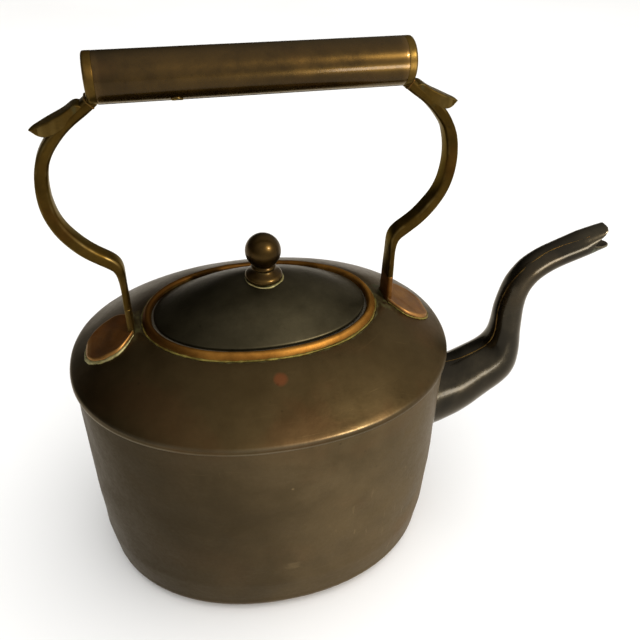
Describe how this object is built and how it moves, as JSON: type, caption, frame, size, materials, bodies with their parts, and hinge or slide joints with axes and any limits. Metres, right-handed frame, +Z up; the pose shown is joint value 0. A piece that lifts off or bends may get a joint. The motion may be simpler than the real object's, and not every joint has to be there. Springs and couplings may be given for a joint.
{
  "type": "kettle",
  "caption": "Oval sheet-copper kettle with a domed shoulder, gooseneck spout, rigid tubular grip on brass C brackets and a lift-off lid with a ball knob.",
  "frame": {"origin": "centre of the flat base, on the surface the kettle stands on", "axes": "+X from the middle of the body towards the spout, along the grip; +Y across the body's short width; +Z up"},
  "size_m": [0.3262, 0.177, 0.3167],
  "materials": {
    "copper_body": "dark brown patinated copper, satin, fine pits and scratches",
    "copper_spout": "dark brown patinated copper, polished high spots, green-grey bloom near the mouth",
    "copper_warm": "worn orange-brown copper, satin",
    "copper_grip": "dark brown copper tube, hand-rubbed satin",
    "copper_lid": "dark grey-green patinated copper, satin",
    "brass_cast": "cast brass, aged golden brown, rubbed bright on the edges",
    "bronze_knob": "turned brass, dark brown and polished by handling"
  },
  "bodies": {
    "kettle": {"base_pan": "copper_body", "body_wall": "copper_body", "shoulder": "copper_body", "collar_bead": "copper_warm", "throat_ring": "copper_warm", "spout": "copper_spout", "spout_flange": "copper_spout", "rear_foot": "copper_warm", "front_foot": "copper_warm", "rear_bracket": "brass_cast", "front_bracket": "brass_cast", "rear_thumb_leaf": "brass_cast", "front_thumb_leaf": "brass_cast", "rear_end_cap": "brass_cast", "front_end_cap": "brass_cast", "grip_tube": "copper_grip"},
    "lid": {"lid_cover": "copper_lid", "lid_flange": "copper_lid", "lid_knob": "bronze_knob", "knob_washer": "brass_cast", "knob_rivet": "brass_cast"}
  },
  "joints": [
    {"name": "lid_lift", "type": "slide", "parent": "kettle", "child": "lid", "axis": [0, 0, 1], "range_m": [0, 0.065]}
  ]
}
